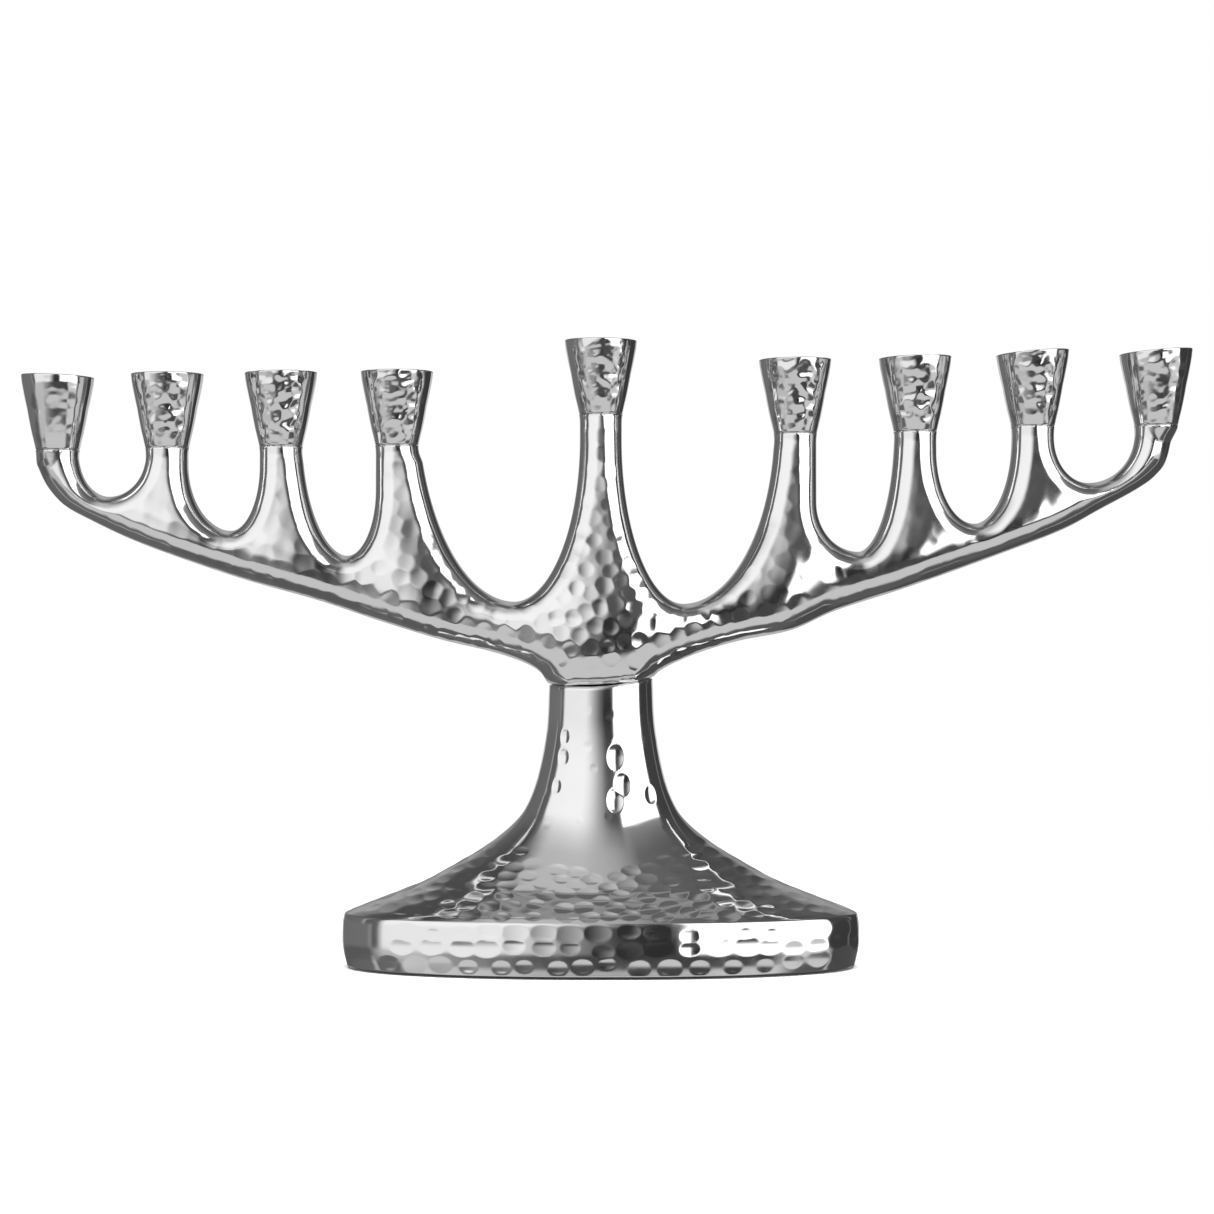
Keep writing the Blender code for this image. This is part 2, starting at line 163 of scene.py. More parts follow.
BRANCH_MARK_DEPTH = 0.175  # where the hammering is deepest, in the belly
BRANCH_MARK_SIZE = 0.63  # radius over spacing
BRANCH_MARK_MARGIN = 4.6  # from the outline
BRANCH_MARKS_TOP_Z = 175.0
FACE_NORMAL_Y = 0.55  # a place faces front or back where its normal has more Y than this
BAND_NORMAL_Z = -0.22  # the plain band along the underside begins here
KEEL_NORMAL_Z = (-0.75, -0.5)  # and has another row of marks under it
ROUND = (1, 1, 1)  # the stretch of a round mark

# Where the branch casting is hammered hardest, and how far the hammering fades to each side and upwards.
HARDEST_X = -5.0
FADE_LEFT = 75.0
FADE_RIGHT = 60.0
LEAST_LEFT = 0.45
LEAST_RIGHT = 0.2
STEM_SHARE = 0.65  # how deep the marks are on the stems, for 1 on the boughs under STEM_Z
STEM_Z = 132.0

# Marks on the base's slope: wide ones up to SLOPE_TOP_Z, and higher up towards the ends.
SLOPE_FOOT_Z = 19.5
SLOPE_TOP_Z = 30.0
SLOPE_TOP_RISE = 0.35
SLOPE_MARK_SPACING = 2.9
SLOPE_MARK_DEPTH = 0.15
SLOPE_MARK_STRETCH = (0.5, 0.5, 1)
FAINT_MARKS_Z = (46.0, 84.0)  # a few faint marks scattered on the column
FAINT_MARK_SPACING = 7.0
FAINT_MARK_DEPTH = 0.035

CELL = 0.5  # size of the fine meshes' faces


# --- meshes ---------------------------------------------------------------------------------------


def piece_from(name, points, faces, material, slot, *nodes):
    """A smooth piece in metres from points in millimetres, standing for CAD nodes."""
    mesh = bpy.data.meshes.new(name)
    mesh.from_pydata((np.asarray(points) * MM).tolist(), [], [list(f) for f in faces])
    mesh.materials.append(material)
    mesh.shade_smooth()
    obj = bpy.data.objects.new(name, mesh)
    bpy.context.scene.collection.objects.link(obj)
    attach(obj, "root")
    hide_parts(*nodes)
    return obj


def loop_faces(rows, columns, closed_rows=False):
    """Quads of a tube of rows of points, each row closed on itself."""
    faces = []
    last = rows if closed_rows else rows - 1
    for i in range(last):
        for j in range(columns):
            a = i * columns + j
            b = i * columns + (j + 1) % columns
            c = (i + 1) % rows * columns + (j + 1) % columns
            d = (i + 1) % rows * columns + j
            faces.append((a, b, c, d))
    return faces


def point_normals(points, faces):
    """Mean normal at each point of a quad mesh."""
    points = np.asarray(points)
    quads = np.asarray(faces)
    across = np.cross(points[quads[:, 2]] - points[quads[:, 0]], points[quads[:, 3]] - points[quads[:, 1]])
    normals = np.zeros_like(points)
    for corner in range(4):
        np.add.at(normals, quads[:, corner], across)
    return normals / np.maximum(np.linalg.norm(normals, axis=1, keepdims=True), 1e-9)


def smooth_curve(points, steps):
    """A Catmull-Rom curve through the points."""
    p = np.asarray(points, float)
    p = np.vstack([2 * p[0] - p[1], p, 2 * p[-1] - p[-2]])
    out = []
    for i in range(1, len(p) - 2):
        for t in np.arange(steps) / steps:
            a = 2 * p[i]
            b = p[i + 1] - p[i - 1]
            c = 2 * p[i - 1] - 5 * p[i] + 4 * p[i + 1] - p[i + 2]
            d = 3 * p[i] - p[i - 1] - 3 * p[i + 1] + p[i + 2]
            out.append((a + b * t + c * t * t + d * t**3) / 2)
    out.append(p[-2])
    return np.array(out)


# --- hammer marks ---------------------------------------------------------------------------------


def scatter(points, allowed, spacing, rng):
    """Indices of points at least spacing apart, chosen in random order where allowed."""
    tree = KDTree(len(points))
    for i, point in enumerate(points):
        tree.insert(point, i)
    tree.balance()
    free = np.array(allowed, bool)
    chosen = []
    for i in rng.permutation(len(points)):
        if not free[i]:
            continue
        chosen.append(i)
        near = [found[1] for found in tree.find_range(points[i], spacing[i])]
        free[near] = False
    return chosen, tree


def strike(points, normals, marks):
    """Presses round marks into points. marks are (centre, radius, depth, tree, scaled points)."""
    depth_at = np.zeros(len(points))
    for centre, radius, depth, tree, scaled in marks:
        near = np.array([found[1] for found in tree.find_range(centre, radius)], int)
        if len(near) == 0:
            continue
        distance = np.linalg.norm(scaled[near] - centre, axis=1) / radius
        cap = depth * (1 - distance**2)
        depth_at[near] = np.maximum(depth_at[near], cap)
    return points - normals * depth_at[:, None]


def hammer(points, normals, allowed, spacing, radius, depth, stretch, rng):
    """Covers the allowed points with hammer marks. stretch flattens the distance along each axis."""
    scaled = points * np.asarray(stretch)
    spacing = np.broadcast_to(spacing, len(points))
    depth = np.broadcast_to(depth, len(points))
    chosen, tree = scatter(scaled, allowed, spacing, rng)
    marks = []
    for i in chosen:
        size = radius * spacing[i] * rng.uniform(0.85, 1.12)
        marks.append((scaled[i], size, depth[i] * rng.uniform(0.6, 1.2), tree, scaled))
    return strike(points, normals, marks)


def uneven(points, normals, allowed, depth, length, rng):
    """Gentle waviness in all directions, with waves of about the length."""
    height = np.zeros(len(points))
    for _ in range(8):
        direction = rng.normal(size=3)
        direction *= 2 * math.pi / (length * rng.uniform(0.6, 1.5) * np.linalg.norm(direction))
        height += np.sin(points @ direction + rng.uniform(0, 2 * math.pi))
    return points - normals * (0.5 * depth * height * allowed)[:, None]


# --- branch casting -------------------------------------------------------------------------------


def cup_box(name):
    """The CAD cup's lowest and highest corners, in millimetres."""
    low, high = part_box(name)
    return [v / MM for v in low], [v / MM for v in high]


def stem_places():
    """(centre X, cup foot Z) of each stem, from the CAD cups."""
    places = []
    for name in STEM_CUPS:
        low, high = cup_box(name)
        places.append(((low[0] + high[0]) / 2, low[2]))
    return places


def gap_side(stem_x, stem_top, gap_x, gap_z, rise, count=40):
    """One side of a gap, from its stem's top corner down to the gap's lowest point."""
    centre_z = gap_z + rise
    start = math.asin(max(0.0, (centre_z - stem_top) / rise))
    angles = start + (math.radians(90) - start) * np.arange(count) / (count - 1)
    points = [(gap_x + (stem_x - gap_x) * math.cos(a), centre_z - rise * math.sin(a)) for a in angles]
    if centre_z < stem_top:
        points.insert(0, (stem_x, stem_top))
    return points


def branch_outline(places):
    """The closed outline: the stems and gaps from left to right, then the underside back to the left."""
    tops = [z + STEM_OVERRUN for _, z in places]
    xs = [x for x, _ in places]
    points = []
    for i, (gap_x, gap_z, left_rise, right_rise) in enumerate(GAPS):
        left = gap_side(xs[i] + STEM_HALF_WIDTH, tops[i], gap_x, gap_z, left_rise)
        right = gap_side(xs[i + 1] - STEM_HALF_WIDTH, tops[i + 1], gap_x, gap_z, right_rise)
        points += left + right[-2::-1]
    right_side = smooth_curve(UNDERSIDE_RIGHT, 8)[::-1]
    left_side = smooth_curve(UNDERSIDE_LEFT, 8)[::-1]
    return np.array(points + right_side.tolist() + left_side.tolist())


def above_keel():
    """The region over the underside, closed far above the casting."""
    left = smooth_curve(UNDERSIDE_LEFT, 8)
    right = smooth_curve(UNDERSIDE_RIGHT, 8)
    first = (UNDERSIDE_LEFT[0][0], CLOSING_Z)
    last = (UNDERSIDE_RIGHT[-1][0], CLOSING_Z)
    return np.vstack([[first], left, right, [last]])


def outline_depth(outline, xs, zs):
    """Distance inside the closed outline at each grid node, negative outside."""
    gx, gz = np.meshgrid(xs, zs, indexing="ij")
    nearest = np.full(gx.shape, 1e9)
    inside = np.zeros(gx.shape, bool)
    for a, b in zip(outline, np.roll(outline, -1, axis=0)):
        edge = b - a
        length2 = max(edge @ edge, 1e-12)
        t = np.clip(((gx - a[0]) * edge[0] + (gz - a[1]) * edge[1]) / length2, 0, 1)
        dx = gx - a[0] - t * edge[0]
        dz = gz - a[1] - t * edge[1]
        nearest = np.minimum(nearest, dx * dx + dz * dz)
        if a[1] != b[1]:
            crosses = (gz < max(a[1], b[1])) & (gz >= min(a[1], b[1]))
            inside ^= crosses & (gx < a[0] + (gz - a[1]) * edge[0] / (b[1] - a[1]))
    distance = np.sqrt(nearest)
    return np.where(inside, distance, -distance)


def half_depth(x, z, stem_xs):
    """Half the casting's depth from front to back."""
    reach_z = np.where(z > BELLY_Z, BELLY_REACH_UP, BELLY_REACH_DOWN)
    belly = np.exp(-((x / BELLY_REACH_X) ** 2) - ((z - BELLY_Z) / reach_z) ** 2)
    root = OUTER_ROOT_Z - ROOT_FALL * (OUTER_ROOT_X - np.abs(x)) ** 2
    bough = 1 / (1 + np.exp((z - root) / ROOT_BLEND))
    depth = STEM_HALF_DEPTH + (BOUGH_HALF_DEPTH - STEM_HALF_DEPTH) * bough
    for stem_x, height in zip(stem_xs, RIDGE_HEIGHTS):
        ridge_x = stem_x + RIDGE_LEAN * np.sign(stem_x) * (z - root)
        depth = depth + height * bough * np.exp(-(((x - ridge_x) / RIDGE_HALF_WIDTH) ** 2))
    return depth + (BELLY_HALF_DEPTH - BOUGH_HALF_DEPTH) * belly


def seam_height(x):
    """Z of the seam between the castings."""
    return SEAM_Z + SEAM_RISE * (x / COLUMN_HALF_X) ** 2 + SEAM_TILT * x


def rounded_max(a, b, radius):
    """The larger of two fields, with the crease between them rounded off."""
    ua = a + radius
    ub = b + radius
    return np.minimum(np.maximum(ua, ub), 0) + np.hypot(np.maximum(ua, 0), np.maximum(ub, 0)) - radius


class Branch:
    """The branch casting as a field that is negative in the metal."""

    def __init__(self, places):
        self.places = places
        self.cell = CELL
        self.xs = np.arange(-190, 194, CELL)
        self.zs = np.arange(84, 196, CELL)
        self.inside = outline_depth(branch_outline(places), self.xs, self.zs)
        self.above_keel = outline_depth(above_keel(), self.xs, self.zs)

    def sample(self, grid, x, z):
        """A grid's value between its nodes."""
        fx = np.clip((x - self.xs[0]) / self.cell, 0, len(self.xs) - 1.001)
        fz = np.clip((z - self.zs[0]) / self.cell, 0, len(self.zs) - 1.001)
        i = fx.astype(int)
        k = fz.astype(int)
        u = fx - i
        w = fz - k
        low = grid[i, k] * (1 - u) + grid[i + 1, k] * u
        high = grid[i, k + 1] * (1 - u) + grid[i + 1, k + 1] * u
        return low * (1 - w) + high * w

    def value(self, x, y, z):
        """The field: a plate with rounded edges, round necks at its stems, cut off at the seam."""
        side = EDGE_RADIUS - self.sample(self.inside, x, z)
        keel = np.exp(-((self.sample(self.above_keel, x, z) / KEEL_REACH) ** 2))
        depth = half_depth(x, z, [place[0] for place in self.places]) - KEEL_FALL * keel
        face = np.abs(y) - (depth - EDGE_RADIUS)
        outer = np.hypot(np.maximum(side, 0), np.maximum(face, 0))
        field = outer + np.minimum(np.maximum(side, face), 0) - EDGE_RADIUS
        for stem_x, top in self.places:
            rise = np.clip(1 - (top - z) / NECK_LENGTH, 0, 1)
            neck = np.hypot(x - stem_x, y) - NECK_RADIUS - (CUP_FOOT_RADIUS - NECK_RADIUS) * rise**2
            share = rise * rise * (3 - 2 * rise)
            joined = np.maximum(field + (neck - field) * share, z - top)
            field = np.where(np.abs(x - stem_x) < NECK_REACH_X, joined, field)
        below = seam_height(x) + SEAM_GAP - z
        rounding = SEAM_EDGE + (SEAM_ROUNDING - SEAM_EDGE) * np.clip(np.abs(y) / SEAM_ROUNDING_Y, 0, 1)
        return np.where(np.abs(x) < SEAM_HALF_X, rounded_max(field, below, rounding), field)


def surface_net(field, xs, ys, zs):
    """A quad mesh of the surface where the field on a grid changes sign."""
    inside = field < 0
    corners = [(a, b, c) for a in (0, 1) for b in (0, 1) for c in (0, 1)]
    n = [s - 1 for s in field.shape]
    count = np.zeros(n, np.int8)
    for a, b, c in corners:
        count += inside[a : a + n[0], b : b + n[1], c : c + n[2]]
    cells = np.argwhere((count > 0) & (count < 8))
    number = np.full(n, -1, np.int64)
    number[tuple(cells.T)] = np.arange(len(cells))
    total = np.zeros((len(cells), 3))
    hits = np.zeros(len(cells))
    for p in corners:
        for axis in range(3):
            if p[axis]:
                continue
            q = [p[k] + (k == axis) for k in range(3)]
            fp = field[tuple((cells + p).T)]
            fq = field[tuple((cells + q).T)]
            crossing = (fp < 0) != (fq < 0)
            t = np.where(crossing, fp / np.where(crossing, fp - fq, 1), 0)
            place = np.tile(np.array(p, float), (len(cells), 1))
            place[:, axis] = t
            total += np.where(crossing[:, None], place, 0)
            hits += crossing
    grid_points = cells + total / hits[:, None]
    step = np.array([xs[1] - xs[0], ys[1] - ys[0], zs[1] - zs[0]])
    points = np.array([xs[0], ys[0], zs[0]]) + grid_points * step
    faces = []
    for axis in range(3):
        u = (axis + 1) % 3
        v = (axis + 2) % 3
        here = [slice(None)] * 3
        there = [slice(None)] * 3
        here[axis] = slice(0, -1)
        there[axis] = slice(1, None)
        flips = inside[tuple(here)] != inside[tuple(there)]
        edges = np.argwhere(flips)
        starts_inside = inside[tuple(edges.T)]
        ring = []
        for du, dv in ((0, 0), (-1, 0), (-1, -1), (0, -1)):
            cell = edges.copy()
            cell[:, u] += du
            cell[:, v] += dv
            ring.append(number[tuple(cell.T)])
        quads = np.stack(ring, axis=1)
        quads[~starts_inside] = quads[~starts_inside][:, ::-1]
        faces.append(quads)
    return points, np.vstack(faces)


def settle(points, value, steps=4):
    """Moves points along the field's slope onto its zero surface."""
    h = 0.05
    for _ in range(steps):
        x, y, z = points.T
        f = value(x, y, z)
        slope = np.stack(
            [
                value(x + h, y, z) - value(x - h, y, z),
                value(x, y + h, z) - value(x, y - h, z),
                value(x, y, z + h) - value(x, y, z - h),
            ],
            axis=1,
        ) / (2 * h)
        size2 = np.maximum((slope**2).sum(axis=1), 0.2)
        move = slope * (f / size2)[:, None]
        points = points - np.clip(move, -0.4, 0.4)
    return points


def mark_share(x, z):
    """How deeply each place on the branch casting is hammered: most on the belly, least on the stems."""
    reach = np.where(x < HARDEST_X, FADE_LEFT, FADE_RIGHT)
    least = np.where(x < HARDEST_X, LEAST_LEFT, LEAST_RIGHT)
    across = least + (1 - least) * np.exp(-(((x - HARDEST_X) / reach) ** 2))
    return across * (STEM_SHARE + (1 - STEM_SHARE) / (1 + np.exp((z - STEM_Z) / 6)))


def branch_casting(material, rng):
    """The branch casting from its field, hammered on both faces and along its keel."""
    branch = Branch(stem_places())
    ys = np.arange(-19, 19 + CELL, CELL)
    grid = np.empty((len(branch.xs), len(ys), len(branch.zs)), np.float32)
    gx, gz = np.meshgrid(branch.xs, branch.zs, indexing="ij")
    for j, y in enumerate(ys):
        grid[:, j, :] = branch.value(gx, y, gz)
    points, faces = surface_net(grid, branch.xs, ys, branch.zs)
    points = settle(points, branch.value)
    normals = point_normals(points, faces)
    inner = branch.sample(branch.inside, points[:, 0], points[:, 2])
    faces_out = np.abs(normals[:, 1]) > FACE_NORMAL_Y
    face = (inner > BRANCH_MARK_MARGIN) & (normals[:, 2] > BAND_NORMAL_Z)
    keel = (normals[:, 2] > KEEL_NORMAL_Z[0]) & (normals[:, 2] < KEEL_NORMAL_Z[1])
    allowed = faces_out & (face | keel) & (points[:, 2] < BRANCH_MARKS_TOP_Z)
    spacing = 4.4 + 0.01 * np.abs(points[:, 0])
    depth = BRANCH_MARK_DEPTH * mark_share(points[:, 0], points[:, 2])
    points = hammer(points, normals, allowed, spacing, BRANCH_MARK_SIZE, depth, ROUND, rng)
    points = uneven(points, normals, np.abs(normals[:, 1]) > 0.4, 0.015, 5.5, rng)
    return piece_from("branch_casting_hammered", points, faces, material, "hammered_metal", "branch_casting")


# --- candle cups ----------------------------------------------------------------------------------

# The cup's section in radius and Z above its foot, then its dents: large ones, with small ones on them.
CUP_MIDDLE_RADIUS = 10.0
CUP_HEIGHT = 24.0
CUP_PROFILE = [
    (0.01, 0.0), (6.8, 0.0), (7.05, 0.15), (7.6, 2.6), (8.25, 5.2), (8.8, 7.8), (9.3, 10.4), (9.75, 13.0),
    (10.25, 15.2), (10.7, 17.4), (11.1, 19.4), (11.45, 21.4), (11.67, 23.5),
]
CUP_RIM = [(11.7, 23.85), (11.55, 24.0), (10.5, 24.0), (10.2, 23.8)]
CUP_BORE = [(8.4, 19.5), (6.4, 15.0), (5.7, 9.0), (5.5, 7.3), (5.0, 7.0), (0.01, 7.0)]
LARGE_DENT_SPACING = 3.6
SMALL_DENT_SPACING = 2.3
SMALL_DENT_SHARE = 0.4  # its depth, for 1 of a large dent's
CUP_WAVE_SHARE = 0.22
CUP_FRONT = 0.72  # the cup is dented where |Y| is more than this much of the radius, and filed elsewhere


def resample(points, step):
    """Points at even steps along a polyline."""
    p = np.asarray(points, float)
    run = np.concatenate([[0], np.cumsum(np.linalg.norm(np.diff(p, axis=0), axis=1))])
    s = np.linspace(0, run[-1], max(2, int(run[-1] / step)))
    return np.stack([np.interp(s, run, p[:, 0]), np.interp(s, run, p[:, 1])], axis=1)


def file_marks(points, normals, allowed, rng):
    """Fine upright ridges left by a file."""
    turn = np.arctan2(points[:, 1], points[:, 0])
    height = np.zeros(len(points))
    for waves in (37, 53, 71, 90):
        height += np.sin(waves * turn + rng.uniform(0, 6.3) + 0.05 * points[:, 2])
    depth = np.where(allowed, 0.02 * (height + 2), 0)
    return points - normals * depth[:, None]


def candle_cup(name, slope, dent_depth, material, rng):
    """A flared cup: dented at its front and back, filed at its sides, with a sloping mouth."""
    low, high = cup_box(name)
    centre_x = (low[0] + high[0]) / 2
    profile = np.vstack([
        resample(CUP_PROFILE[:3], CELL), resample(CUP_PROFILE[2:], CELL)[1:],
        CUP_RIM, resample(CUP_BORE, 1.2 * CELL),
    ])
    count = int(2 * math.pi * CUP_MIDDLE_RADIUS / CELL)
    turn = np.arange(count) * 2 * math.pi / count
    r = profile[:, 0][:, None]
    z = np.repeat(profile[:, 1][:, None], count, axis=1)
    points = np.stack([r * np.cos(turn), r * np.sin(turn), z], axis=2).reshape(-1, 3)
    faces = loop_faces(len(profile), count)
    faces.append(tuple(range(count))[::-1])
    faces.append(tuple(range((len(profile) - 1) * count, len(profile) * count)))
    normals = point_normals(points, faces[:-2])
    radial = np.hypot(points[:, 0], points[:, 1])
    outer = (normals[:, 0] * points[:, 0] + normals[:, 1] * points[:, 1]) / np.maximum(radial, 1) > 0.6
    front = np.abs(points[:, 1]) > CUP_FRONT * radial
    dented = outer & (points[:, 2] > CUP_DENTS_Z[0]) & (points[:, 2] < CUP_DENTS_Z[1]) & front
    points = file_marks(points, normals, outer & ~front, rng)
    points = hammer(points, normals, dented, LARGE_DENT_SPACING, 0.66, dent_depth, (1, 1, 0.85), rng)
    small = SMALL_DENT_SHARE * dent_depth
    points = hammer(points, normals, dented, SMALL_DENT_SPACING, 0.6, small, ROUND, rng)
    points = uneven(points, normals, outer & front, CUP_WAVE_SHARE * dent_depth, 4.0, rng)
    points[:, 2] += slope * points[:, 0] * (points[:, 2] / CUP_HEIGHT) ** 2
    points += (centre_x, 0, low[2])
    return piece_from(name + "_hammered", points, faces, material, "hammered_metal", name)


# --- pedestal casting -----------------------------------------------------------------------------


def plan_section(half_x, z, count, inset=0.0):
    """The pedestal's oval at a height. Its half_x says how far it is between the base and the column."""
    share = (BASE_HALF_X - half_x) / (BASE_HALF_X - COLUMN_HALF_X)
    half_y = BASE_HALF_Y + (COLUMN_HALF_Y - BASE_HALF_Y) * share
    power = BASE_ROUNDNESS + (COLUMN_ROUNDNESS - BASE_ROUNDNESS) * share
    turn = np.arange(count) * 2 * math.pi / count
    c = np.cos(turn)
    s = np.sin(turn)
    radius = (np.abs(c / (half_x - inset)) ** power + np.abs(s / (half_y - inset)) ** power) ** (-1 / power)
    return np.stack([radius * c, radius * s, np.full(count, z)], axis=1)


def rim_marks(points, normals, rng):
    """Three staggered rows of wide marks round the upright rim of the base."""
    scaled = points * RIM_MARK_STRETCH
    tree = KDTree(len(points))
    for i, point in enumerate(scaled):
        tree.insert(point, i)
    tree.balance()
    ring = plan_section(BASE_HALF_X, 0.0, 4000)
    run = np.concatenate([[0], np.cumsum(np.linalg.norm(np.diff(ring, axis=0), axis=1))])
    marks = []
    for row, height in enumerate(RIM_ROWS_Z):
        place = row * 0.5 * RIM_MARK_PITCH
        while place < run[-1]:
            centre = ring[np.searchsorted(run, place % run[-1])].copy()
            centre[2] = height + rng.uniform(-1.0, 1.0)
            size = RIM_MARK_RADIUS * rng.uniform(0.7, 1.1)
            nearest = tree.find(centre * RIM_MARK_STRETCH)[0]
            if centre[0] > RIM_PLAIN_X:
                depth = RIM_MARK_DEPTH * rng.uniform(0.6, 1.2)
                marks.append((np.array(nearest), size, depth, tree, scaled))
            place += RIM_MARK_PITCH * rng.uniform(0.85, 1.2)
    return strike(points, normals, marks)


def column_marks(points, normals, column):
    """The few large, upright marks struck into the front and the back of the column."""
    scaled = points * COLUMN_MARK_STRETCH
    tree = KDTree(len(points))
    for i in np.flatnonzero(column):
        tree.insert(scaled[i], i)
    tree.balance()
    marks = []
    for x, z, radius in COLUMN_MARKS:
        for side in (-1, 1):
            target = np.array((-side * x, side * COLUMN_HALF_Y, z)) * COLUMN_MARK_STRETCH
            centre = np.array(tree.find(target)[0])
            marks.append((centre, radius, COLUMN_MARK_SLOPE * radius, tree, scaled))
    return strike(points, normals, marks)


def pedestal_casting(material, rng):
    """The hollow pedestal: its skin, the lip and web under the seam, and its inner wall back to the foot."""
    count = int(400 / CELL)
    profile = resample(smooth_curve(list(zip(PEDESTAL_HALF_X, PEDESTAL_Z)), 12), CELL)
    top = plan_section(COLUMN_HALF_X, 0.0, count)
    seam = seam_height(top[:, 0])
    rows = []
    for half_x, z in profile:
        row = plan_section(half_x, z, count)
        share = max(0.0, (z - COLUMN_Z) / (PEDESTAL_Z[-1] - COLUMN_Z))
        row[:, 2] += share * (seam - LIP_RADIUS - PEDESTAL_Z[-1])
        rows.append(row)
    for turn in np.radians([18, 36, 54, 72, 90]):
        row = top * (1 - LIP_RADIUS * (1 - math.cos(turn)) / COLUMN_HALF_Y)
        row[:, 2] = seam - LIP_RADIUS * (1 - math.sin(turn))
        rows.append(row)
    outer_rows = len(rows)
    edge = top * (1 - LIP_RADIUS / COLUMN_HALF_Y)
    for share in (0.66, 0.33, 0.0):
        radius = BOLT_HOLE_RADIUS / np.hypot(edge[:, 0], edge[:, 1])
        scale = share + (1 - share) * radius
        row = edge * scale[:, None]
        row[:, 2] = seam_height(row[:, 0])
        rows.append(row)
    hole = rows[-1].copy()
    hole[:, 2] = WEB_UNDERSIDE_Z
    rows.append(hole)
    inner = [(half_x, z) for half_x, z in zip(PEDESTAL_HALF_X, PEDESTAL_Z) if z < WEB_UNDERSIDE_Z]
    rows.append(plan_section(inner[-1][0], WEB_UNDERSIDE_Z, count, PEDESTAL_WALL))
    for half_x, z in inner[::-1]:
        drop = ROOF_DROP if z > RIM_TOP_Z else 0.0
        rows.append(plan_section(half_x, z - drop, count, PEDESTAL_WALL))
    points = np.vstack(rows)
    faces = loop_faces(len(rows), count, closed_rows=True)
    normals = point_normals(points, faces)
    z = points[:, 2]
    on_skin = np.arange(len(points)) < outer_rows * count
    slope = on_skin & (z > SLOPE_FOOT_Z) & (z < SLOPE_TOP_Z + SLOPE_TOP_RISE * np.abs(points[:, 0]))
    column = on_skin & (z > FAINT_MARKS_Z[0]) & (z < FAINT_MARKS_Z[1])
    points = rim_marks(points, normals, rng)
    spacing = SLOPE_MARK_SPACING
    points = hammer(points, normals, slope, spacing, 0.6, SLOPE_MARK_DEPTH, SLOPE_MARK_STRETCH, rng)
    points = uneven(points, normals, slope, 0.02, 8.0, rng)
    points = hammer(points, normals, column, FAINT_MARK_SPACING, 0.22, FAINT_MARK_DEPTH, ROUND, rng)
    points = column_marks(points, normals, column)
    name = "pedestal_casting_hammered"
    return piece_from(name, points, faces, material, "hammered_metal", "pedestal_casting")


# --- felt -----------------------------------------------------------------------------------------


def felt_underlay(material):
    """The felt sheet that closes the pedestal's foot, with a softened edge."""
    low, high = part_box("felt_underlay")
    top = high[2] / MM
    count = 240
    inset = PEDESTAL_WALL + FELT_MARGIN
    edge = [(0.3, 0.0), (0.0, 0.25), (0.0, top - 0.25), (0.3, top)]
    rows = [plan_section(PEDESTAL_HALF_X[0], z, count, inset + back) for back, z in edge]
    centre_rows = []
    for share in (0.6, 0.25, 0.01):
        row = rows[-1] * share
        row[:, 2] = top
        centre_rows.append(row)
    under_rows = [row * (1, 1, 0) for row in centre_rows[::-1]]
    all_rows = under_rows + rows + centre_rows
    points = np.vstack(all_rows)
    faces = loop_faces(len(all_rows), count)
    last = (len(all_rows) - 1) * count
    faces.append(tuple(range(count))[::-1])
    faces.append(tuple(range(last, last + count)))
    felt = piece_from("felt_underlay_sheet", points, faces, material, "dark_felt", "felt_underlay")
    return felt


# --- materials ------------------------------------------------------------------------------------


def new_material(name):
    """A material with its node tree and its shader."""
    material = bpy.data.materials.new(name)
    material.use_nodes = True
    return material, material.node_tree, material.node_tree.nodes["Principled BSDF"]


def polished_metal():
    """Bright cast metal whose gloss and tone vary a little."""
    material, tree, shader = new_material("polished_hammered_metal")
    nodes = tree.nodes
    links = tree.links
    shader.inputs["Metallic"].default_value = 1.0
    noise = nodes.new("ShaderNodeTexNoise")
    noise.inputs["Scale"].default_value = 160
    noise.inputs["Detail"].default_value = 4
    place = nodes.new("ShaderNodeTexCoord")
    links.new(place.outputs["Object"], noise.inputs["Vector"])
    colour = nodes.new("ShaderNodeMix")
    colour.data_type = "RGBA"
    colour.inputs["A"].default_value = (0.90, 0.90, 0.90, 1)
    colour.inputs["B"].default_value = (0.97, 0.97, 0.97, 1)
    links.new(noise.outputs["Fac"], colour.inputs["Factor"])
    links.new(colour.outputs["Result"], shader.inputs["Base Color"])
    rough = nodes.new("ShaderNodeMapRange")
    rough.inputs["From Min"].default_value = 0.35
    rough.inputs["From Max"].default_value = 0.7
    rough.inputs["To Min"].default_value = 0.05
    rough.inputs["To Max"].default_value = 0.13
    links.new(noise.outputs["Fac"], rough.inputs["Value"])
    links.new(rough.outputs["Result"], shader.inputs["Roughness"])
    return material


def plated_steel():
    """The bolt's and the washers' dull grey plating."""
    material, tree, shader = new_material("zinc_plated_steel")
    shader.inputs["Metallic"].default_value = 1.0
    noise = tree.nodes.new("ShaderNodeTexNoise")
    noise.inputs["Scale"].default_value = 900
    ramp = tree.nodes.new("ShaderNodeMix")
    ramp.data_type = "RGBA"
    ramp.inputs["A"].default_value = (0.55, 0.56, 0.58, 1)
    ramp.inputs["B"].default_value = (0.70, 0.70, 0.69, 1)
    tree.links.new(noise.outputs["Fac"], ramp.inputs["Factor"])
    tree.links.new(ramp.outputs["Result"], shader.inputs["Base Color"])
    shader.inputs["Roughness"].default_value = 0.38
    return material


